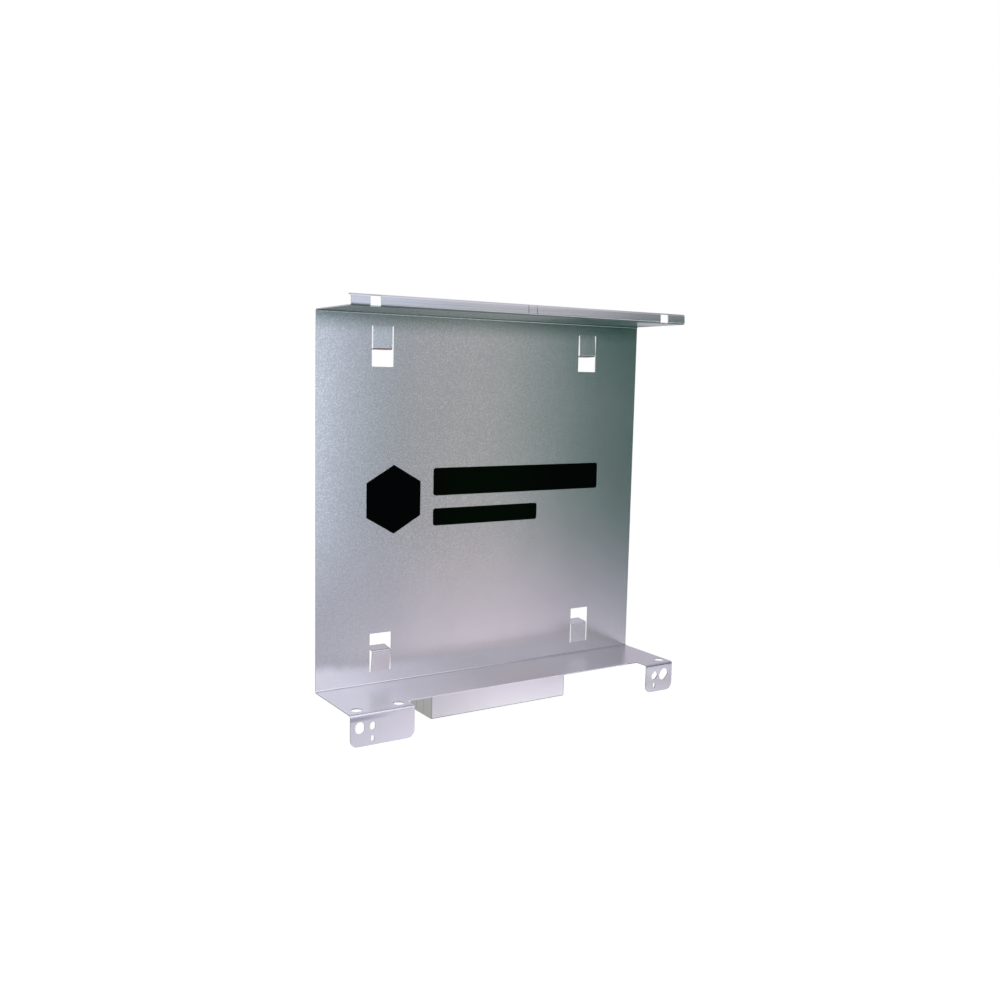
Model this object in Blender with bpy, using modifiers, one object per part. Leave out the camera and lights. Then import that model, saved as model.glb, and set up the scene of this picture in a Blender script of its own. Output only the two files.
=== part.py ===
"""Spacer bracket folded from galvanised sheet, with a shallow box hung under its lower flange.

Metres, +Z up. The origin is the centre of the back panel's rear face: the panel's front looks
towards -Y, and its height runs along Z. Every size is derived from the dimensions below.
"""

from math import copysign, cos, pi, radians, sin, tan

import bmesh
import bpy
from mathutils import Matrix, Vector

# The folded sheet
WIDTH = 0.440
HEIGHT = 0.419  # over the two flanges
SHEET = 0.0012
BEND_RADIUS = 0.0016  # inside every fold
LOWER_FLANGE_DEPTH = 0.0927
UPPER_FLANGE_DEPTH = 0.0898
UPPER_FLANGE_RISE = 0.0008  # its front edge stands a little higher than its bend
LIP_HEIGHT = 0.0118  # above the upper flange's bend
LIP_LEAN = 0.0007  # backward, over its height
LIP_RETURN = 0.0070
MID = HEIGHT / 2

# The two ears that turn down from the lower flange's front edge, and the set-back between them
EAR_DROP = 0.0340
LEFT_EAR_WIDTH = 0.0750
RIGHT_EAR_WIDTH = 0.0418
EAR_CORNER_RADIUS = 0.0085
SET_BACK = 0.0182

# Ear holes: distance in from the ear's outer end, distance down from the flange's underside,
# width, height, and the tilt of the height away from upright towards +X, in degrees
LEFT_EAR_HOLES = {
    "big_hole": (0.0108, 0.0138, 0.0106, 0.0130, 0),
    "small_hole": (0.0255, 0.0136, 0.0062, 0.0087, 0),
    "slot": (0.0256, 0.0268, 0.0036, 0.0066, 0),
}
RIGHT_EAR_HOLES = {
    "big_hole": (0.0136, 0.0133, 0.0118, 0.0150, 41),
    "small_hole": (0.0281, 0.0135, 0.0080, 0.0105, 41),
    "slot": (0.0282, 0.0257, 0.0036, 0.0066, 0),
}

# Holes through the lower flange, and the lip's marks and windows
FLANGE_HOLE_RADIUS = 0.0061
FLANGE_HOLE_BEHIND_FRONT = 0.0144
FLANGE_HOLES_X = (-0.2065, -0.1570, 0.2110)
LIP_WINDOWS_X = {"left": (-0.1990, -0.1870), "right": (0.1818, 0.1939)}
LIP_MARKS_X = (-0.0082, 0.0030)
LIP_MARK_SIZE = (0.0005, 0.0080)
LIP_MARK_DEPTH = 0.0003

# The four lanced tabs, each in its own window, as distances from the panel's centre
WINDOW_CENTRE_X = 0.1411
WINDOW_WIDTH = 0.0270
WINDOW_NEAR = 0.1500
WINDOW_FAR = 0.1944  # where the tab hinges
TAB_WIDTH = 0.0232
TAB_LENGTH = 0.0257
TAB_FOOT = 0.0160  # how far the foot reaches behind the panel's middle plane
TAB_SHEET = 0.98 * SHEET  # a lanced tab comes out a little thinner than the sheet
TAB_ROOT = 0.0003  # how far the tab runs into the panel past its hinge
# By the signs of its X and Z, each tab's forward lean in degrees and its foot's rise at the back:
# the tabs were sprung by hand, and no two stand alike
TABS = {(-1, 1): (0.0, 0), (1, 1): (3.0, 0), (-1, -1): (7.0, 0), (1, -1): (-0.5, 0.0014)}

# The box under the lower flange
BOX_LENGTH = 0.1856
BOX_CENTRE_X = -0.0098
BOX_FRONT = 0.0520  # distance in front of the panel's rear face
BOX_BACK = 0.0010
BOX_BOTTOM = 0.0340  # below the lower flange
BOX_RIM = 0.0100
BOX_BEND_RADIUS = 0.0018  # outside its folds
BOX_BEND_STEPS = 4
SEAM_FROM_CORNER = 0.0170
SEAM_WIDTH = 0.0005
SEAM_DEPTH = 0.0004

# The generic marking on the panel: a hexagon and two bars of thin film
FILM = 0.0002
GAP = 0.0003  # clearance between touching pieces
HEXAGON_CENTRE = (-0.1260, 0.0020)
HEXAGON_ACROSS_CORNERS = 0.0780
WIDE_BAR = (-0.0750, 0.1620, 0.0040, 0.0360)  # left, right, bottom and top
NARROW_BAR = (-0.0750, 0.0700, -0.0310, -0.0110)
BAR_CORNER_RADIUS = 0.0030

CUT_MARGIN = 0.0050  # how far a cutter runs past the sheet
WELD = 0.000001
ARC_STEPS = 8
HOLE_SIDES = 32

# Rotations that stand a flat outline up: its X and Y become the world's Y and Z, or X and Z
SIDE_VIEW = (pi / 2, 0, pi / 2)
FRONT_VIEW = (pi / 2, 0, 0)


def clear_scene():
    for obj in list(bpy.data.objects):
        bpy.data.objects.remove(obj, do_unlink=True)


def new_collection(name):
    collection = bpy.data.collections.new(name)
    bpy.context.scene.collection.children.link(collection)
    return collection


def new_material(name, colour, roughness, metallic):
    material = bpy.data.materials.new(name)
    material.use_nodes = True
    shader = material.node_tree.nodes["Principled BSDF"]
    shader.inputs["Base Color"].default_value = (*colour, 1)
    shader.inputs["Roughness"].default_value = roughness
    shader.inputs["Metallic"].default_value = metallic
    return material


def new_object(name, mesh, collection):
    obj = bpy.data.objects.new(name, mesh)
    collection.objects.link(obj)
    return obj


# Flat outlines


def arc(centre, radius, start, end, steps=ARC_STEPS):
    """Points along an arc, both ends included, with the angles in radians."""
    angles = [start + (end - start) * step / steps for step in range(steps + 1)]
    return [Vector((centre[0] + radius * cos(a), centre[1] + radius * sin(a))) for a in angles]


def rounded_path(path, radius):
    """The path's points, with each corner replaced by an arc."""
    path = [Vector(point) for point in path]
    points = [path[0]]
    for before, corner, after in zip(path, path[1:], path[2:]):
        came = (corner - before).normalized()
        goes = (after - corner).normalized()
        bend = came.angle(goes)
        inward = (goes - came * cos(bend)) / sin(bend)
        centre = corner - radius * tan(bend / 2) * came + radius * inward
        for step in range(ARC_STEPS + 1):
            angle = bend * step / ARC_STEPS
            points.append(centre + radius * (came * sin(angle) - inward * cos(angle)))
    return points + [path[-1]]


def folded_sheet(name, path, sheet, width, collection, rotation=(0, 0, 0)):
    """A sheet whose middle plane follows a path in its own XY plane, with its width along Z."""
    shape = bmesh.new()
    points = rounded_path(path, BEND_RADIUS + sheet / 2)
    verts = [shape.verts.new((x, y, -width / 2)) for x, y in points]
    edges = [shape.edges.new(ends) for ends in zip(verts, verts[1:])]
    strip = bmesh.ops.extrude_edge_only(shape, edges=edges)["geom"]
    far_verts = [item for item in strip if isinstance(item, bmesh.types.BMVert)]
    bmesh.ops.translate(shape, verts=far_verts, vec=(0, 0, width))
    bmesh.ops.recalc_face_normals(shape, faces=shape.faces)
    mesh = bpy.data.meshes.new(name)
    shape.to_mesh(mesh)
    shape.free()
    obj = new_object(name, mesh, collection)
    obj.rotation_euler = rotation
    thickness = obj.modifiers.new("sheet", "SOLIDIFY")
    thickness.thickness = sheet
    thickness.offset = 0
    thickness.use_even_offset = True
    return obj


def outline_solid(name, outline, thickness, collection, location=(0, 0, 0), rotation=(0, 0, 0)):
    """A flat outline, thickened by half the thickness to each side of its plane."""
    curve = bpy.data.curves.new(name + "_outline", "CURVE")
    curve.dimensions = "2D"
    curve.fill_mode = "BOTH"
    curve.extrude = thickness / 2
    spline = curve.splines.new("POLY")
    spline.points.add(len(outline) - 1)
    for spline_point, (x, y) in zip(spline.points, outline):
        spline_point.co = (x, y, 0, 1)
    spline.use_cyclic_u = True
    drawn = new_object(name + "_outline", curve, collection)
    drawn.location = location
    drawn.rotation_euler = rotation
    graph = bpy.context.evaluated_depsgraph_get()
    mesh = bpy.data.meshes.new_from_object(drawn.evaluated_get(graph))
    mesh.name = name
    weld_mesh(mesh)
    solid = new_object(name, mesh, collection)
    solid.matrix_world = drawn.matrix_world
    bpy.data.objects.remove(drawn)
    bpy.data.curves.remove(curve)
    return solid


def weld_mesh(mesh):
    shape = bmesh.new()
    shape.from_mesh(mesh)
    bmesh.ops.remove_doubles(shape, verts=shape.verts, dist=WELD)
    bmesh.ops.recalc_face_normals(shape, faces=shape.faces)
    shape.to_mesh(mesh)
    shape.free()


# Cutters


def block(name, low, high, collection):
    """A box between two corners."""
    bpy.ops.mesh.primitive_cube_add(size=1)
    obj = bpy.context.object
    obj.name = name
    low, high = Vector(low), Vector(high)
    size = high - low
    obj.data.transform(Matrix.Diagonal((*size, 1)))
    obj.location = (low + high) / 2
    for other in obj.users_collection:
        other.objects.unlink(obj)
    collection.objects.link(obj)
    return obj


def hole_cutter(name, size, depth, collection, location, rotation=(0, 0, 0), tilt=0):
    """A round cutter, drawn out along its own Y where taller than wide, then tilted towards +X."""
    width, height = size
    shape = bmesh.new()
    radius = width / 2
    bmesh.ops.create_cone(
        shape, cap_ends=True, segments=HOLE_SIDES, radius1=radius, radius2=radius, depth=depth
    )
    for vert in shape.verts:
        vert.co.y += copysign((height - width) / 2, vert.co.y)
    bmesh.ops.rotate(shape, verts=shape.verts, matrix=Matrix.Rotation(-tilt, 3, "Z"))
    mesh = bpy.data.meshes.new(name)
    shape.to_mesh(mesh)
    shape.free()
    cutter = new_object(name, mesh, collection)
    cutter.location = location
    cutter.rotation_euler = rotation
    return cutter


def corner_cutter(name, x, z, side, collection):
    """Rounds an ear's lower corner, at (x, z), whose ear lies towards side * X."""
    radius = EAR_CORNER_RADIUS
    margin = -CUT_MARGIN
    rounding = arc((radius, radius), radius, 1.5 * pi, pi)
    outline = [(margin, margin), (radius, margin), *rounding, (margin, radius)]
    if side < 0:
        outline = [(-px, py) for px, py in outline[::-1]]
    depth = 4 * CUT_MARGIN
    place = (x, -LOWER_FLANGE_DEPTH, z)
    return outline_solid(name, outline, depth, collection, place, FRONT_VIEW)


def hide_cutter(cutter):
    cutter.hide_render = True
    cutter.display_type = "WIRE"


def combine(obj, tool, operation):
    modifier = obj.modifiers.new(f"{operation.lower()}_{tool.name}", "BOOLEAN")
    modifier.object = tool
    modifier.operation = operation
    modifier.solver = "EXACT"
    hide_cutter(tool)


# The bracket


def bracket_sheet(collection):
    """The one folded sheet, from the ears' lower edge round to the lip's return, before cutting."""
    half = SHEET / 2
    ear_y = half - LOWER_FLANGE_DEPTH
    lip_y = half - UPPER_FLANGE_DEPTH
    path = [
        (ear_y, -MID - EAR_DROP),
        (ear_y, half - MID),
        (-half, half - MID),
        (-half, MID - half),
        (lip_y, MID + UPPER_FLANGE_RISE - half),
        (lip_y + LIP_LEAN, MID + LIP_HEIGHT - half),
        (lip_y + LIP_RETURN - half, MID + LIP_HEIGHT - half),
    ]
    return folded_sheet("bracket", path, SHEET, WIDTH, collection, SIDE_VIEW)


def ear_cutters(side, width, holes, cutters):
    """The two rounded corners and three holes of one ear; side is -1 for left, 1 for right."""
    label = "left" if side < 0 else "right"
    outer = side * WIDTH / 2
    inner = outer - side * width
    bottom = -MID - EAR_DROP
    depth = 4 * CUT_MARGIN
    made = [
        corner_cutter(f"{label}_ear_outer_corner", outer, bottom, -side, cutters),
        corner_cutter(f"{label}_ear_inner_corner", inner, bottom, side, cutters),
    ]
    for hole, (from_end, down, hole_width, hole_height, tilt) in holes.items():
        place = (outer - side * from_end, -LOWER_FLANGE_DEPTH, -MID - down)
        name = f"{label}_ear_{hole}"
        size = (hole_width, hole_height)
        made.append(hole_cutter(name, size, depth, cutters, place, FRONT_VIEW, radians(tilt)))
    return made


def flange_cutters(cutters):
    """The set-back between the ears, and the holes down through the flange behind them."""
    front = -LOWER_FLANGE_DEPTH
    low = (LEFT_EAR_WIDTH - WIDTH / 2, front - CUT_MARGIN, -MID - EAR_DROP - CUT_MARGIN)
    high = (WIDTH / 2 - RIGHT_EAR_WIDTH, front + SET_BACK, -MID + CUT_MARGIN)
    made = [block("set_back", low, high, cutters)]
    size = (2 * FLANGE_HOLE_RADIUS, 2 * FLANGE_HOLE_RADIUS)
    for index, x in enumerate(FLANGE_HOLES_X):
        place = (x, front + FLANGE_HOLE_BEHIND_FRONT, -MID)
        made.append(hole_cutter(f"flange_hole_{index}", size, CUT_MARGIN, cutters, place))
    return made


def lip_cutters(cutters):
    """A window through each end of the lip, under its return, and two shallow marks at mid length."""
    front = -UPPER_FLANGE_DEPTH
    top = MID + LIP_HEIGHT - SHEET
    made = []
    for side, (left, right) in LIP_WINDOWS_X.items():
        low = (left, front - CUT_MARGIN, MID - SHEET - CUT_MARGIN)
        high = (right, front + SHEET + BEND_RADIUS, top)
        made.append(block(f"lip_window_{side}", low, high, cutters))
    width, height = LIP_MARK_SIZE
    middle = MID + (LIP_HEIGHT - SHEET) / 2
    for index, x in enumerate(LIP_MARKS_X):
        low = (x - width / 2, front - CUT_MARGIN, middle - height / 2)
        high = (x + width / 2, front + LIP_LEAN / 2 + LIP_MARK_DEPTH, middle + height / 2)
        made.append(block(f"lip_mark_{index}", low, high, cutters))
    return made


def window_cutter(side, level, cutters):
    """A tab's window; side and level are the signs of its X and Z."""
    centre = side * WINDOW_CENTRE_X
    heights = sorted((level * WINDOW_NEAR, level * WINDOW_FAR))
    low = (centre - WINDOW_WIDTH / 2, -CUT_MARGIN, heights[0])
    high = (centre + WINDOW_WIDTH / 2, CUT_MARGIN, heights[1])
    return block(f"window_{tab_name(side, level)}", low, high, cutters)


def tab(side, level, lean, rise, collection):
    """A tab from its hinge towards the panel's mid height, with its end folded back as a foot."""
    end = -level * (TAB_LENGTH - TAB_SHEET / 2)
    path = [(0, level * TAB_ROOT), (0, end), (TAB_FOOT, end + rise)]
    sheet = folded_sheet(tab_name(side, level), path, TAB_SHEET, TAB_WIDTH, collection)
    hinge = Vector((side * WINDOW_CENTRE_X, -SHEET / 2, level * WINDOW_FAR))
    turn = Matrix.Rotation(radians(-level * lean), 4, "X")
    stand = Matrix.Rotation(pi / 2, 4, "Z") @ Matrix.Rotation(pi / 2, 4, "X")
    sheet.matrix_world = Matrix.Translation(hinge) @ turn @ stand
    return sheet


def tab_name(side, level):
    return f"{'upper' if level > 0 else 'lower'}_{'left' if side < 0 else 'right'}_tab"


def build_bracket(parts, cutters, finish):
    bracket = bracket_sheet(parts)
    tools = flange_cutters(cutters) + lip_cutters(cutters)
    tools += ear_cutters(-1, LEFT_EAR_WIDTH, LEFT_EAR_HOLES, cutters)
    tools += ear_cutters(1, RIGHT_EAR_WIDTH, RIGHT_EAR_HOLES, cutters)
    tools += [window_cutter(side, level, cutters) for side, level in TABS]
    for tool in tools:
        combine(bracket, tool, "DIFFERENCE")
    for (side, level), (lean, rise) in TABS.items():
        combine(bracket, tab(side, level, lean, rise, cutters), "UNION")
    bracket.data.materials.append(finish)
    return bracket


# The box


def open_box_mesh(name, size):
    """A box with a rim turned in all round its open top, still without thickness."""
    shape = bmesh.new()
    bmesh.ops.create_cube(shape, size=1, matrix=Matrix.Diagonal((*size, 1)))
    shape.normal_update()
    top = max(shape.faces, key=lambda face: face.calc_center_median().z)
    bmesh.ops.inset_region(shape, faces=[top], thickness=BOX_RIM)
    bmesh.ops.delete(shape, geom=[top], context="FACES")
    mesh = bpy.data.meshes.new(name)
    shape.to_mesh(mesh)
    shape.free()
    return mesh


def seam_cutters(centre, size, cutters):
    """Fine upright grooves on the box's ends, where the corner flaps of its blank stop."""
    made = []
    half = size / 2
    for side in (-1, 1):
        face = centre.x + side * half.x
        reach = sorted((face - side * SEAM_DEPTH, face + side * CUT_MARGIN))
        for end in (-1, 1):
            y = centre.y + end * (half.y - SEAM_FROM_CORNER)
            low = (reach[0], y - SEAM_WIDTH / 2, centre.z - half.z + 2 * BOX_BEND_RADIUS)
            high = (reach[1], y + SEAM_WIDTH / 2, centre.z + half.z - 2 * BOX_BEND_RADIUS)
            made.append(block(f"seam_{side}_{end}", low, high, cutters))
    return made


def build_box(parts, cutters, finish):
    low = Vector((BOX_CENTRE_X - BOX_LENGTH / 2, -BOX_FRONT, -MID - BOX_BOTTOM))
    high = Vector((BOX_CENTRE_X + BOX_LENGTH / 2, -BOX_BACK, -MID - GAP))
    size = high - low
    centre = (low + high) / 2
    box = new_object("lower_box", open_box_mesh("lower_box", size), parts)
    box.location = centre
    folds = box.modifiers.new("folds", "BEVEL")
    folds.width = BOX_BEND_RADIUS
    folds.segments = BOX_BEND_STEPS
    folds.limit_method = "ANGLE"
    walls = box.modifiers.new("sheet", "SOLIDIFY")
    walls.thickness = SHEET
    walls.offset = -1
    walls.use_even_offset = True
    for tool in seam_cutters(centre, size, cutters):
        combine(box, tool, "DIFFERENCE")
    box.data.materials.append(finish)
    return box


# The marking


def build_hexagon(parts, finish):
    x, z = HEXAGON_CENTRE
    corners = [
        Vector((cos(angle), sin(angle))) * HEXAGON_ACROSS_CORNERS / 2
        for angle in (pi / 2 + side * pi / 3 for side in range(6))
    ]
    film = outline_solid("marking_hexagon", corners, FILM, parts, film_place(x, z), FRONT_VIEW)
    film.data.materials.append(finish)
    return film


def build_bar(name, edges, parts, finish):
    left, right, bottom, top = edges
    half_width = (right - left) / 2 - BAR_CORNER_RADIUS
    half_height = (top - bottom) / 2 - BAR_CORNER_RADIUS
    outline = []
    for quarter, (across, up) in enumerate(((1, 1), (-1, 1), (-1, -1), (1, -1))):
        centre = (across * half_width, up * half_height)
        start = quarter * pi / 2
        outline += arc(centre, BAR_CORNER_RADIUS, start, start + pi / 2)
    place = film_place((left + right) / 2, (bottom + top) / 2)
    film = outline_solid(name, outline, FILM, parts, place, FRONT_VIEW)
    film.data.materials.append(finish)
    return film


def film_place(x, z):
    return (x, -SHEET - GAP - FILM / 2, z)


def main():
    clear_scene()
    parts = new_collection("spacer_bracket")
    cutters = new_collection("cutters")
    galvanised = new_material("galvanised_sheet", (0.60, 0.61, 0.64), 0.38, 1.0)
    galvanised_box = new_material("galvanised_box", (0.66, 0.66, 0.69), 0.42, 1.0)
    black_film = new_material("black_film", (0.010, 0.014, 0.011), 0.30, 0.0)
    build_bracket(parts, cutters, galvanised)
    build_box(parts, cutters, galvanised_box)
    build_hexagon(parts, black_film)
    build_bar("marking_wide_bar", WIDE_BAR, parts, black_film)
    build_bar("marking_narrow_bar", NARROW_BAR, parts, black_film)


main()
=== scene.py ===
"""The spacer bracket's looks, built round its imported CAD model, with camera, floor and light."""

from math import cos, radians, sin

import bmesh
import bpy
from mathutils import Matrix, Vector


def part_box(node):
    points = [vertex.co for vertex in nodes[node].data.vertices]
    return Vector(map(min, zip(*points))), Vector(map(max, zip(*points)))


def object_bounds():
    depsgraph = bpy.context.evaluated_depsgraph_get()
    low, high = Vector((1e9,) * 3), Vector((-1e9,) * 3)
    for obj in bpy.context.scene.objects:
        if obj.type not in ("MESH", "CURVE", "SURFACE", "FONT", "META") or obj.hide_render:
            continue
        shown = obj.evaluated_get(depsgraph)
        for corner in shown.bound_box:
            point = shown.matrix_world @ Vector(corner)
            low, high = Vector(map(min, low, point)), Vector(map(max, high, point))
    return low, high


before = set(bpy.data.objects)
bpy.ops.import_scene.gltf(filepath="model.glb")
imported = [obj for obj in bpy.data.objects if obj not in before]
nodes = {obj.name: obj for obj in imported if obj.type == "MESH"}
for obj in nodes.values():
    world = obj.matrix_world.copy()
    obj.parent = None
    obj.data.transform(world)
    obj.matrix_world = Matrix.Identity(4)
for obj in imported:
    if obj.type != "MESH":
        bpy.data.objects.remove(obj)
cad_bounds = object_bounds()

# Positions that the looks are placed by, in metres

BOX_LOW, BOX_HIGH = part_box("lower_box")
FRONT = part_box("bracket")[0].y
HALF_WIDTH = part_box("bracket")[1].x
FLANGE = -BOX_HIGH.z  # how far both flanges stand above or below the panel's centre
LIP_MARKS_X = (-0.0082, 0.0030)
TAB_X = 0.1411
TAB_HALF_WIDTH = 0.0126
TAB_Z = (0.1600, 0.1944)
EDGE_ROUNDING = 0.00025
FLOOR_GAP = 0.0002

WHITE = (1.0, 1.0, 1.0)

# Node trees


def feed(tree, socket, value):
    """Link the socket to another node's output, or give it a plain value."""
    if isinstance(value, bpy.types.NodeSocket):
        tree.links.new(value, socket)
    else:
        socket.default_value = value


def add(tree, kind, inputs=None, **settings):
    """A new node; an input takes a value or another node's output."""
    node = tree.nodes.new(kind)
    for name, value in settings.items():
        setattr(node, name, value)
    for key, value in (inputs or {}).items():
        feed(tree, node.inputs[key], value)
    return node


def maths(tree, operation, *values, clamp=False):
    inputs = dict(enumerate(values))
    return add(tree, "ShaderNodeMath", inputs, operation=operation, use_clamp=clamp).outputs[0]


def product(tree, first, *others):
    for other in others:
        first = maths(tree, "MULTIPLY", first, other)
    return first


def vector_maths(tree, operation, inputs):
    return add(tree, "ShaderNodeVectorMath", inputs, operation=operation).outputs[0]


def split_axes(tree, vector):
    return add(tree, "ShaderNodeSeparateXYZ", {0: vector}).outputs


def smooth(tree, value, start, end, low=0.0, high=1.0):
    """Low before start, high after end, with a smooth step between."""
    inputs = {"Value": value, "From Min": start, "From Max": end, "To Min": low, "To Max": high}
    return add(tree, "ShaderNodeMapRange", inputs, interpolation_type="SMOOTHSTEP").outputs[0]


def rgba(colour):
    """A plain colour with its alpha; another node's output is left as it is."""
    return (*colour, 1) if isinstance(colour, tuple) else colour


def mix(tree, factor, first, second, blend="MIX"):
    node = add(tree, "ShaderNodeMix", data_type="RGBA", blend_type=blend)
    for index, value in ((0, factor), (6, rgba(first)), (7, rgba(second))):
        feed(tree, node.inputs[index], value)
    return node.outputs[2]


def tinted(tree, colour, mask, tint):
    """The colour, multiplied by the tint where the mask is 1."""
    return mix(tree, mask, colour, tint, "MULTIPLY")


def ramp(tree, value, stops):
    """A colour ramp through (position, colour) stops."""
    node = add(tree, "ShaderNodeValToRGB", {"Fac": value})
    node.color_ramp.interpolation = "EASE"
    elements = node.color_ramp.elements
    while len(elements) < len(stops):
        elements.new(0.5)
    for element, (position, colour) in zip(elements, stops):
        element.position = position
        element.color = rgba(colour)
    return node.outputs[0]


def object_place(tree):
    return add(tree, "ShaderNodeTexCoord").outputs["Object"]


def noise(tree, vector, scale, detail):
    inputs = {"Vector": vector, "Scale": scale, "Detail": detail, "Roughness": 0.55}
    return add(tree, "ShaderNodeTexNoise", inputs).outputs["Fac"]


# Zinc coating


def zinc_grain(tree, place):
    """Fine noise, the crystals' own colours, and a mottle of both from 0 to 1."""
    fine = noise(tree, place, 440, 3)
    cells = add(tree, "ShaderNodeTexVoronoi", {"Vector": place, "Scale": 520})
    facet = maths(tree, "MULTIPLY_ADD", fine, 0.9, cells.outputs["Distance"])
    return fine, cells.outputs["Color"], smooth(tree, facet, 0.55, 1.05)


def crystal_normal(tree, crystals, fine, tilt):
    """The surface normal, tipped a little differently on each zinc crystal."""
    lean = vector_maths(tree, "SUBTRACT", {0: crystals, 1: (0.5, 0.5, 0.5)})
    lean = vector_maths(tree, "SCALE", {0: lean, "Scale": tilt})
    normal = add(tree, "ShaderNodeBevel", {"Radius": EDGE_ROUNDING}, samples=6).outputs[0]
    normal = vector_maths(tree, "ADD", {0: normal, 1: lean})
    normal = vector_maths(tree, "NORMALIZE", {0: normal})
    strength = maths(tree, "MULTIPLY", tilt, 2.0)
    inputs = {"Strength": strength, "Distance": 0.0004, "Height": fine, "Normal": normal}
    return add(tree, "ShaderNodeBump", inputs).outputs[0]


def galvanised(name, tone, roughness, tilt, mottle, place_look):
    """Zinc-coated sheet: mottle gives its grain's depth, place_look its tint from place to place,
    which paints shade and highlights.
    """
    material = bpy.data.materials.new(name)
    material.use_nodes = True
    tree = material.node_tree
    shader = tree.nodes["Principled BSDF"]
    place = object_place(tree)
    fine, crystals, grain = zinc_grain(tree, place)
    tint, metallic, haze = place_look(tree, place)

    dark = tuple(0.45 * channel for channel in tone)
    colour = mix(tree, maths(tree, "MULTIPLY", grain, mottle(tree, place)), tone, dark)
    cloud = smooth(tree, noise(tree, place, 14, 2), 0.35, 0.70, 0.0, 0.06)
    colour = mix(tree, cloud, colour, dark)
    # The place_look tint: painted shade and painted highlights
    colour = tinted(tree, colour, 1.0, tint)
    rough = maths(tree, "MULTIPLY_ADD", fine, 0.10, roughness - 0.05)

    # The panel's grain stands up most, and calms towards its foot and on the forward flanges
    x, y, z = split_axes(tree, place)
    relief = smooth(tree, y, -0.012, -0.003, 0.4 * tilt, tilt)
    relief = maths(tree, "MULTIPLY", relief, smooth(tree, z, -0.19, -0.06, 0.45, 1.0))

    feed(tree, shader.inputs["Base Color"], colour)
    feed(tree, shader.inputs["Metallic"], metallic)
    feed(tree, shader.inputs["Specular IOR Level"], maths(tree, "MULTIPLY", metallic, 0.5))
    feed(tree, shader.inputs["Roughness"], maths(tree, "ADD", rough, haze))
    feed(tree, shader.inputs["Normal"], crystal_normal(tree, crystals, fine, relief))
    return material


# The bracket's look from place to place: mostly painted shade and painted highlights, with the lip's
# own streaks and marks. A ramp over its width runs from 0 at the left end to 1.

# Painted shade on the panel just under the upper flange
UPPER_CORNER_PAINTED_SHADE = (0.54, 0.62, 0.59)
# Painted shade, greenish, high on the panel's right
HIGH_RIGHT_PAINTED_SHADE = (0.66, 0.80, 0.75)
# Painted highlight along the fold under the upper flange on the left, fading to painted shade on the
# right
INNER_FOLD_PAINTED_LIGHT_AND_SHADE = [(0.1, (1.34, 1.28, 1.30)), (0.6, (1.00, 1.04, 1.00)), (0.9, (0.80, 0.90, 0.85))]
# Painted highlight on the lower flange's top at the left, painted shade across its middle and right
LOWER_FLANGE_PAINTED_LIGHT_AND_SHADE = [
    (0.05, (1.23, 1.19, 1.19)),
    (0.25, (1.05, 0.99, 1.00)),
    (0.50, (0.84, 0.81, 0.82)),
    (0.75, (0.88, 0.88, 0.93)),
    (0.95, (0.84, 0.82, 0.86)),
]
# Painted highlight along the lower flange's inner fold at the left, painted shade at the right
LOWER_FOLD_PAINTED_LIGHT_AND_SHADE = [(0.2, (1.15, 1.15, 1.20)), (0.8, (0.50, 0.50, 0.53))]
# Painted shade along the right ear's fold
RIGHT_EAR_FOLD_PAINTED_SHADE = (0.55, 0.55, 0.60)
# Painted highlight along the left ear's fold
LEFT_EAR_FOLD_PAINTED_HIGHLIGHT = (1.20, 1.18, 1.20)
# Painted shade along the downward-facing fold at the upper flange's front edge
LIP_FOLD_PAINTED_SHADE = (0.42, 0.50, 0.48)
# Painted shade on the upper tabs' downward-facing folds
UPPER_TAB_FOLD_PAINTED_SHADE = (0.55, 0.45, 0.46)
# Painted shade on the left ear
LEFT_EAR_PAINTED_SHADE = (0.93, 0.93, 0.95)
# Painted shade on the right ear
RIGHT_EAR_PAINTED_SHADE = (0.71, 0.71, 0.70)
LIP_STREAK_TINT = (0.86, 0.88, 0.90)
LIP_MARK_TINT = (0.66, 0.66, 0.68)
# Painted shade in a band under the left ear's fold
UNDER_EAR_FOLD_PAINTED_SHADE = (0.66, 0.66, 0.68)
# Painted shade on the lower right tab's upward-facing foot
RIGHT_FOOT_PAINTED_SHADE = (0.55, 0.55, 0.57)
# By the signs of each tab's X and Z: each was sprung at its own angle, and its tint is a painted
# highlight or painted shade for the light it catches
TAB_PAINTED_LIGHT_AND_SHADE = {
    (-1, 1): (1.19, 1.22, 1.24),
    (1, 1): (0.88, 0.93, 0.93),
    (-1, -1): (0.87, 0.86, 0.86),
    (1, -1): (1.24, 1.24, 1.25),
}
# Painted shade on the upper flange's underside; the duller, less metallic surface there goes with it
UNDERSIDE_PAINTED_SHADE = [
    (0.05, (0.38, 0.56, 0.48)),
    (0.25, (0.68, 0.84, 0.72)),
    (0.50, (0.80, 0.93, 0.84)),
    (0.70, (0.22, 0.44, 0.35)),
    (0.95, (0.22, 0.44, 0.35)),
]
UNDERSIDE_DULLNESS = [(0.05, 0.66), (0.25, 0.54), (0.50, 0.46), (0.75, 0.78), (0.95, 0.84)]


def sheet_mottle(tree, place):
    """The grain is plainest high on the panel's left, and faint on the forward flanges."""
    x, y, z = split_axes(tree, place)
    left = smooth(tree, x, 0.05, -0.10, 0.24, 0.39)
    right = smooth(tree, x, 0.05, 0.20, 0.0, 0.16)
    high = smooth(tree, z, -0.17, 0.03, 0.32, 1.0)
    panel = smooth(tree, y, -0.012, -0.003, 0.10, 1.0)
    return product(tree, maths(tree, "ADD", left, right), high, panel)


def distance_from(tree, value, centre):
    return maths(tree, "ABSOLUTE", maths(tree, "SUBTRACT", value, centre))


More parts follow.
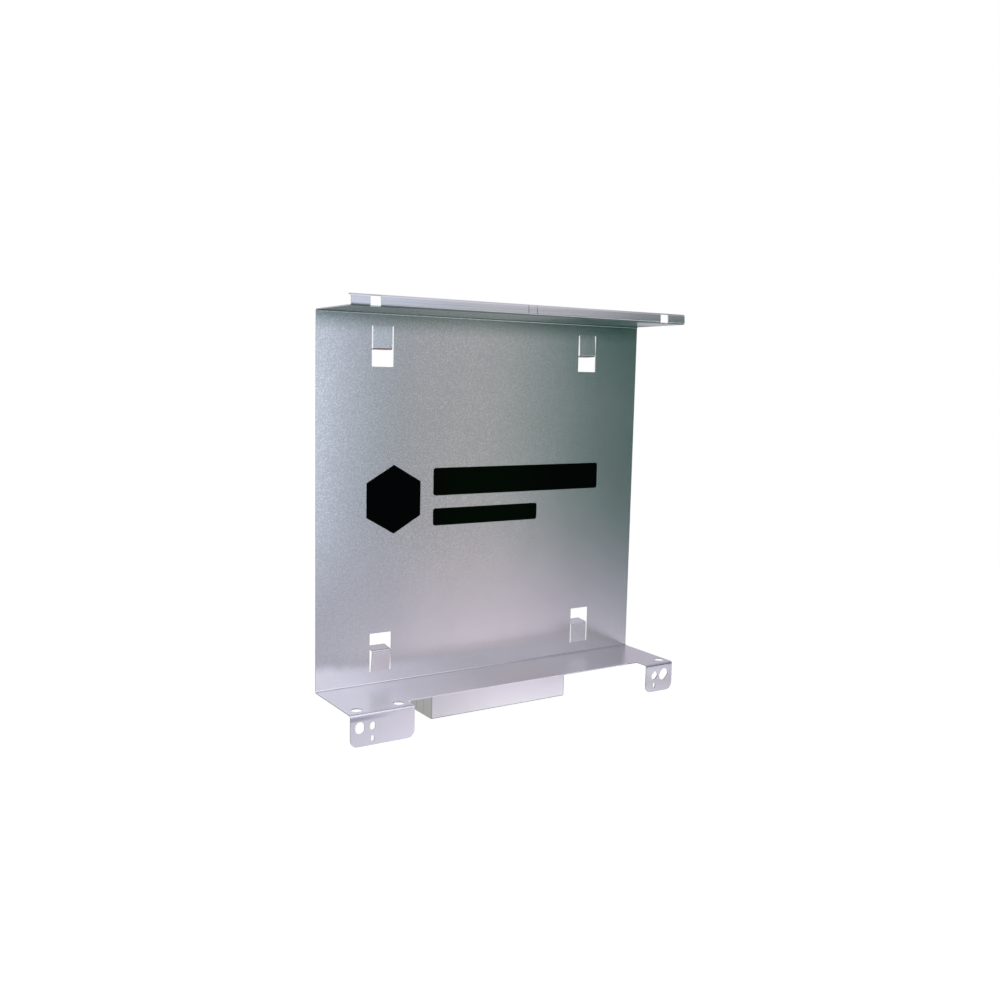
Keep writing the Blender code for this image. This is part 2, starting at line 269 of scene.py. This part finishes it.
def on_tab(tree, x, z, side, level):
    """1 on one of the four lanced tabs, by the signs of its X and Z."""
    off_centre = distance_from(tree, x, side * TAB_X)
    up = maths(tree, "MULTIPLY", z, level)
    return product(
        tree,
        smooth(tree, off_centre, TAB_HALF_WIDTH + 0.0004, TAB_HALF_WIDTH - 0.0004),
        smooth(tree, up, TAB_Z[0], TAB_Z[0] + 0.001),
        smooth(tree, up, TAB_Z[1] + 0.0005, TAB_Z[1] - 0.001),
    )


def on_lip_mark(tree, x, z, mark):
    return product(
        tree,
        smooth(tree, distance_from(tree, x, mark), 0.0009, 0.0004),
        smooth(tree, z, FLANGE + 0.0012, FLANGE + 0.0020),
        smooth(tree, z, FLANGE + 0.0110, FLANGE + 0.0100),
    )


def sheet_look(tree, place):
    """Tint, metallic value and extra roughness: painted shade and a duller, less metallic surface
    under the upper flange, and painted highlights and painted shade along folds and on the ears,
    tabs and flanges.
    """
    x, y, z = split_axes(tree, place)
    facing = split_axes(tree, add(tree, "ShaderNodeNewGeometry").outputs["Normal"])
    across = maths(tree, "MULTIPLY_ADD", x, 0.5 / HALF_WIDTH, 0.5)
    right = smooth(tree, x, 0.05, 0.20)
    back = smooth(tree, y, -0.030, -0.010)
    front = smooth(tree, y, FRONT + 0.008, FRONT + 0.004)
    above = smooth(tree, z, FLANGE - 0.028, FLANGE - 0.001)
    below = smooth(tree, z, -FLANGE + 0.010, -FLANGE + 0.004)
    downward = smooth(tree, facing[2], -0.50, -0.93)
    upward = smooth(tree, facing[2], 0.75, 0.95)
    part_upward = smooth(tree, facing[2], 0.10, 0.30)
    sloping = product(tree, part_upward, smooth(tree, facing[2], 0.95, 0.80))
    inside = smooth(tree, maths(tree, "ADD", facing[1], facing[2]), -0.2, -0.7)
    near_upper_flange = smooth(tree, z, FLANGE - 0.11, FLANGE - 0.01)
    inner_fold = product(
        tree,
        smooth(tree, y, -0.0035, -0.0020),
        smooth(tree, z, FLANGE - 0.0045, FLANGE - 0.0030),
        smooth(tree, facing[2], -0.05, -0.20),
    )
    lip_fold = product(
        tree,
        smooth(tree, facing[2], -0.10, -0.35),
        smooth(tree, z, FLANGE - 0.004, FLANGE - 0.001),
        front,
    )
    upper_tab_fold = product(
        tree,
        smooth(tree, facing[2], -0.10, -0.40),
        smooth(tree, z, 0.0, 0.05),
        smooth(tree, z, FLANGE - 0.012, FLANGE - 0.020),
    )
    left_ear = product(tree, front, smooth(tree, x, -0.10, -0.15), smooth(tree, z, 0.0, -0.1))
    right_ear = product(tree, front, right, smooth(tree, z, -FLANGE - 0.003, -FLANGE - 0.023))
    under_ear_fold = product(
        tree,
        front,
        smooth(tree, z, -FLANGE - 0.0075, -FLANGE - 0.0045),
        smooth(tree, z, -FLANGE - 0.0010, -FLANGE - 0.0025),
        smooth(tree, x, -HALF_WIDTH + 0.060, -HALF_WIDTH + 0.005),
    )
    right_foot = product(
        tree, smooth(tree, facing[2], 0.15, 0.50), smooth(tree, z, -0.195, -0.190), right
    )
    stretched = add(tree, "ShaderNodeMapping", {"Vector": place, "Scale": (12, 60, 1400)})
    streak = smooth(tree, noise(tree, stretched.outputs[0], 1.0, 2), 0.40, 0.70)
    right_end = product(tree, smooth(tree, x, 0.13, 0.19), smooth(tree, y, -0.025, -0.055))
    underside = product(tree, downward, above, maths(tree, "SUBTRACT", 1.0, right_end))

    # Every tint here but the lip streaks and lip marks is painted shade or a painted highlight
    tints = [
        (product(tree, above, back, inside), UPPER_CORNER_PAINTED_SHADE),
        (product(tree, right, near_upper_flange, back, inside), HIGH_RIGHT_PAINTED_SHADE),
        (inner_fold, ramp(tree, across, INNER_FOLD_PAINTED_LIGHT_AND_SHADE)),
        (product(tree, upward, below), ramp(tree, across, LOWER_FLANGE_PAINTED_LIGHT_AND_SHADE)),
        (product(tree, sloping, below, back), ramp(tree, across, LOWER_FOLD_PAINTED_LIGHT_AND_SHADE)),
        (product(tree, sloping, below, front, right), RIGHT_EAR_FOLD_PAINTED_SHADE),
        (product(tree, sloping, below, front, smooth(tree, x, 0.0, -0.1)), LEFT_EAR_FOLD_PAINTED_HIGHLIGHT),
        (lip_fold, LIP_FOLD_PAINTED_SHADE),
        (upper_tab_fold, UPPER_TAB_FOLD_PAINTED_SHADE),
        *((on_tab(tree, x, z, *signs), tint) for signs, tint in TAB_PAINTED_LIGHT_AND_SHADE.items()),
        (left_ear, LEFT_EAR_PAINTED_SHADE),
        (product(tree, smooth(tree, z, FLANGE, FLANGE + 0.001), streak), LIP_STREAK_TINT),
        (right_ear, RIGHT_EAR_PAINTED_SHADE),
        *((on_lip_mark(tree, x, z, mark), LIP_MARK_TINT) for mark in LIP_MARKS_X),
        (under_ear_fold, UNDER_EAR_FOLD_PAINTED_SHADE),
        (right_foot, RIGHT_FOOT_PAINTED_SHADE),
        (underside, ramp(tree, across, UNDERSIDE_PAINTED_SHADE)),
    ]
    colour = WHITE
    for mask, tint in tints:
        colour = tinted(tree, colour, mask, tint)
    # Less metallic under the upper flange, along with its painted shade
    dulled = ramp(tree, across, [(at, (dull, dull, dull)) for at, dull in UNDERSIDE_DULLNESS])
    metallic = maths(tree, "SUBTRACT", 1.0, product(tree, underside, dulled))
    return colour, metallic, product(tree, upward, below, 0.10)


# The box's look

BOX_GRAIN = 0.06
# Painted shade low on the box
BOX_BOTTOM_PAINTED_SHADE = (0.95, 0.97, 0.92)
# Painted shade towards the box's left end
BOX_LEFT_PAINTED_SHADE = (0.92, 0.92, 0.92)
# Painted highlight on the box's left end face
BOX_LEFT_END_PAINTED_LIGHT = (1.30, 1.27, 1.25)


def box_mottle(tree, place):
    return BOX_GRAIN


def box_look(tree, place):
    """Painted shade low on the box and towards its left end, and a painted highlight on its left end
    face.
    """
    x, y, z = split_axes(tree, place)
    facing = split_axes(tree, add(tree, "ShaderNodeNewGeometry").outputs["Normal"])
    colour = tinted(tree, WHITE, smooth(tree, z, BOX_HIGH.z, BOX_LOW.z), BOX_BOTTOM_PAINTED_SHADE)
    left = smooth(tree, x, BOX_LOW.x + 0.09, BOX_LOW.x + 0.002)
    colour = tinted(tree, colour, left, BOX_LEFT_PAINTED_SHADE)
    colour = tinted(tree, colour, smooth(tree, facing[0], -0.3, -0.9), BOX_LEFT_END_PAINTED_LIGHT)
    return colour, 1.0, 0.0


# Black film

FILM_BLACK = (0.0005, 0.0012, 0.0011)
# Painted green reflection across the middle of the film
FILM_PAINTED_GREEN_REFLECTION = (0.0007, 0.0070, 0.0013)
FILM_GRAIN = (0.0004, 0.0010, 0.0010)


def film(name):
    material = bpy.data.materials.new(name)
    material.use_nodes = True
    tree = material.node_tree
    shader = tree.nodes["Principled BSDF"]
    place = object_place(tree)
    fine = noise(tree, place, 600, 3)
    x, y, z = split_axes(tree, place)
    # Painted green reflection across the film's middle
    middle = product(tree, smooth(tree, x, -0.11, -0.03), smooth(tree, x, 0.12, 0.02))
    colour = mix(tree, middle, FILM_BLACK, FILM_PAINTED_GREEN_REFLECTION)
    colour = mix(tree, smooth(tree, fine, 0.3, 0.8, 0, 0.5), colour, FILM_GRAIN)
    bump = add(tree, "ShaderNodeBump", {"Strength": 0.08, "Distance": 0.0003, "Height": fine})
    feed(tree, shader.inputs["Base Color"], colour)
    feed(tree, shader.inputs["Specular IOR Level"], 0.02)
    feed(tree, shader.inputs["Roughness"], maths(tree, "MULTIPLY_ADD", fine, 0.12, 0.36))
    feed(tree, shader.inputs["Normal"], bump.outputs[0])
    return material


# Finishes on the CAD nodes

SHEET_TONE = (0.80, 0.80, 0.80)
BOX_TONE = (0.75, 0.75, 0.76)
SHEET_ROUGHNESS, SHEET_TILT = 0.20, 0.007
BOX_ROUGHNESS, BOX_TILT = 0.22, 0.006

sheet_finish = galvanised(
    "galvanised_sheet_look", SHEET_TONE, SHEET_ROUGHNESS, SHEET_TILT, sheet_mottle, sheet_look
)
box_finish = galvanised(
    "galvanised_box_look", BOX_TONE, BOX_ROUGHNESS, BOX_TILT, box_mottle, box_look
)
film_finish = film("black_film_look")
finishes = {
    "bracket": sheet_finish,
    "lower_box": box_finish,
    "marking_hexagon": film_finish,
    "marking_wide_bar": film_finish,
    "marking_narrow_bar": film_finish,
}
for name, finish in finishes.items():
    for slot in nodes[name].material_slots:
        slot.material = finish

# Folds: the arcs of the CAD solids shaded round

SMOOTH_ANGLE = radians(30)
WELD_DISTANCE = 0.00002


def smooth_by_angle():
    """A node group that smooths every edge but the sharp ones."""
    group = bpy.data.node_groups.new("smooth_by_angle", "GeometryNodeTree")
    group.interface.new_socket("Geometry", in_out="INPUT", socket_type="NodeSocketGeometry")
    group.interface.new_socket("Geometry", in_out="OUTPUT", socket_type="NodeSocketGeometry")
    entry = group.nodes.new("NodeGroupInput").outputs[0]
    angle = group.nodes.new("GeometryNodeInputMeshEdgeAngle").outputs[0]
    flat = add(group, "FunctionNodeCompare", {0: angle, 1: SMOOTH_ANGLE}, operation="LESS_THAN")
    edges = add(
        group,
        "GeometryNodeSetShadeSmooth",
        {"Geometry": entry, "Shade Smooth": flat.outputs[0]},
        domain="EDGE",
    )
    faces = add(
        group, "GeometryNodeSetShadeSmooth", {"Geometry": edges.outputs[0], "Shade Smooth": True}
    )
    add(group, "NodeGroupOutput", {0: faces.outputs[0]})
    return group


smoothing = smooth_by_angle()


def smooth_folds(obj):
    """Join the solid's facets and shade its folds round, with every sheared edge left sharp."""
    obj.modifiers.new("weld", "WELD").merge_threshold = WELD_DISTANCE
    obj.modifiers.new("smooth", "NODES").node_group = smoothing
    obj.modifiers.new("normals", "WEIGHTED_NORMAL").keep_sharp = True


smooth_folds(nodes["bracket"])
smooth_folds(nodes["lower_box"])

# World: white to the camera, a softly graded studio to everything the metal reflects.
# Each band is a ramp over bearings, in degrees from -Y towards +X, and lies above the one before.

LAST_BEARING = 60
FLOORWARD = (0.45, 0.45, 0.47)
LOW = [
    (8, (0.45, 0.45, 0.50)),
    (19, (0.78, 0.76, 0.87)),
    (28, (0.96, 0.92, 1.05)),
    (35, (2.15, 2.07, 2.42)),
    (39, (2.25, 2.12, 2.45)),
    (43, (2.75, 2.54, 3.00)),
    (50, (0.60, 0.60, 0.68)),
]
TABLE = [
    (12, (0.40, 0.42, 0.50)),
    (21, (0.245, 0.26, 0.33)),
    (26, (0.36, 0.37, 0.435)),
    (31, (0.82, 0.69, 0.75)),
    (36, (0.51, 0.43, 0.54)),
    (41, (0.25, 0.31, 0.34)),
    (48, (0.05, 0.07, 0.07)),
]
HORIZON = [
    (6, (0.55, 0.57, 0.65)),
    (14, (0.75, 0.80, 0.93)),
    (20, (1.86, 2.02, 2.38)),
    (25, (0.03, 0.085, 0.105)),
    (31, (0.73, 0.68, 0.655)),
    (36, (0.13, 0.245, 0.23)),
    (40, (0.02, 0.08, 0.07)),
    (52, (0.14, 0.26, 0.22)),
]
UPPER = [
    (5, (0.90, 0.88, 1.00)),
    (20, (1.07, 1.05, 1.21)),
    (27, (0.72, 0.81, 1.03)),
    (32, (0.46, 0.46, 0.51)),
    (37, (1.13, 1.00, 1.08)),
    (41, (0.12, 0.165, 0.165)),
    (46, (0.15, 0.18, 0.18)),
    (60, (0.80, 0.75, 0.85)),
]
ZENITH = [(12, (0.90, 0.88, 1.00)), (26, (1.40, 1.36, 1.58)), (42, (0.70, 0.70, 0.80))]
BEHIND_LOW = (0.45, 0.45, 0.46)
BEHIND_HIGH = (0.66, 0.64, 0.72)
FILL = (0.25, 0.25, 0.26)  # what lights the diffuse surfaces


def build_world():
    world = bpy.data.worlds.new("studio")
    bpy.context.scene.world = world
    world.use_nodes = True
    tree = world.node_tree
    direction = add(tree, "ShaderNodeTexCoord").outputs["Generated"]
    x, y, z = split_axes(tree, direction)
    bearing = maths(tree, "ARCTAN2", x, maths(tree, "MULTIPLY", y, -1.0))
    bearing = maths(tree, "DEGREES", bearing)
    height = maths(tree, "DEGREES", maths(tree, "ARCSINE", z))
    turn = maths(tree, "MULTIPLY_ADD", bearing, 1 / LAST_BEARING, 0, clamp=True)

    # The table band begins more gradually at small bearings, and higher up at large ones
    shifted = maths(tree, "SUBTRACT", height, smooth(tree, bearing, 37, 41, 0, 1.3))
    edge_low = smooth(tree, bearing, 24, 30, -21.3, -20.5)
    edge_high = smooth(tree, bearing, 24, 30, -13.8, -16.2)
    bands = [
        (height, -34, -26, LOW),
        (shifted, edge_low, edge_high, TABLE),
        (height, -12, -8, HORIZON),
        (height, 1, 14, UPPER),
        (height, 20, 36, ZENITH),
    ]
    colour = FLOORWARD
    for level, start, end, stops in bands:
        band = ramp(tree, turn, [(at / LAST_BEARING, tint) for at, tint in stops])
        colour = mix(tree, smooth(tree, level, start, end), colour, band)
    behind = mix(tree, smooth(tree, height, -15, 12), BEHIND_LOW, BEHIND_HIGH)
    colour = mix(tree, smooth(tree, y, -0.1, 0.3), colour, behind)
    rays = add(tree, "ShaderNodeLightPath")
    colour = mix(tree, rays.outputs["Is Diffuse Ray"], colour, FILL)
    colour = mix(tree, rays.outputs["Is Camera Ray"], colour, WHITE)
    feed(tree, tree.nodes["Background"].inputs["Color"], colour)


build_world()

# Floor

FLOOR_HALF_SIZE = 6
FLOOR_TONE = (0.400, 0.400, 0.400)
FLOOR_GLOW = (0.905, 0.905, 0.905)


def build_floor():
    shape = bmesh.new()
    bmesh.ops.create_grid(shape, x_segments=8, y_segments=8, size=FLOOR_HALF_SIZE)
    mesh = bpy.data.meshes.new("floor")
    shape.to_mesh(mesh)
    shape.free()
    floor = bpy.data.objects.new("floor", mesh)
    floor.location.z = cad_bounds[0].z - FLOOR_GAP
    bpy.context.scene.collection.objects.link(floor)
    material = bpy.data.materials.new("pale_floor")
    material.use_nodes = True
    tree = material.node_tree
    tree.nodes.remove(tree.nodes["Principled BSDF"])
    diffuse = add(tree, "ShaderNodeBsdfDiffuse", {"Color": rgba(FLOOR_TONE)})
    glow = add(tree, "ShaderNodeEmission", {"Color": rgba(FLOOR_GLOW)})
    both = add(tree, "ShaderNodeAddShader", {0: diffuse.outputs[0], 1: glow.outputs[0]})
    feed(tree, tree.nodes["Material Output"].inputs["Surface"], both.outputs[0])
    mesh.materials.append(material)
    floor.visible_glossy = False
    floor.visible_diffuse = False


build_floor()

# Light

LIGHT_PLACE = Vector((-0.5, -0.5, 1.2))
LIGHT_TARGET = Vector((-0.1, -0.05, 0))
LIGHT_SIZE = (1.0, 0.8)
LIGHT_POWER = 2


def build_light():
    data = bpy.data.lights.new("overhead", "AREA")
    data.shape = "RECTANGLE"
    data.size, data.size_y = LIGHT_SIZE
    data.energy = LIGHT_POWER
    light = bpy.data.objects.new("overhead", data)
    light.location = LIGHT_PLACE
    light.rotation_mode = "QUATERNION"
    light.rotation_quaternion = (LIGHT_TARGET - LIGHT_PLACE).to_track_quat("-Z", "Y")
    bpy.context.scene.collection.objects.link(light)


build_light()

# Camera

LENS = 37.72
SENSOR_WIDTH = 36
CAMERA_PLACE = Vector((-0.6617, -1.0516, 0.1436))
CAMERA_BEARING = radians(-32.852)
CAMERA_HEIGHT = radians(6.789)
CAMERA_ROLL = radians(-1.271)


def build_camera():
    a, e = CAMERA_BEARING, CAMERA_HEIGHT
    back = Vector((sin(a) * cos(e), -cos(a) * cos(e), sin(e)))
    right = Vector((cos(a), sin(a), 0))
    up = back.cross(right)
    c, s = cos(CAMERA_ROLL), sin(CAMERA_ROLL)
    axes = (c * right - s * up, s * right + c * up, back)
    data = bpy.data.cameras.new("camera")
    data.lens = LENS
    data.sensor_width = SENSOR_WIDTH
    data.clip_start = 0.01
    camera = bpy.data.objects.new("camera", data)
    turn = Matrix(axes).transposed().to_4x4()
    camera.matrix_world = Matrix.Translation(CAMERA_PLACE) @ turn
    bpy.context.scene.collection.objects.link(camera)
    bpy.context.scene.camera = camera


build_camera()
bpy.context.scene.view_settings.view_transform = "Standard"
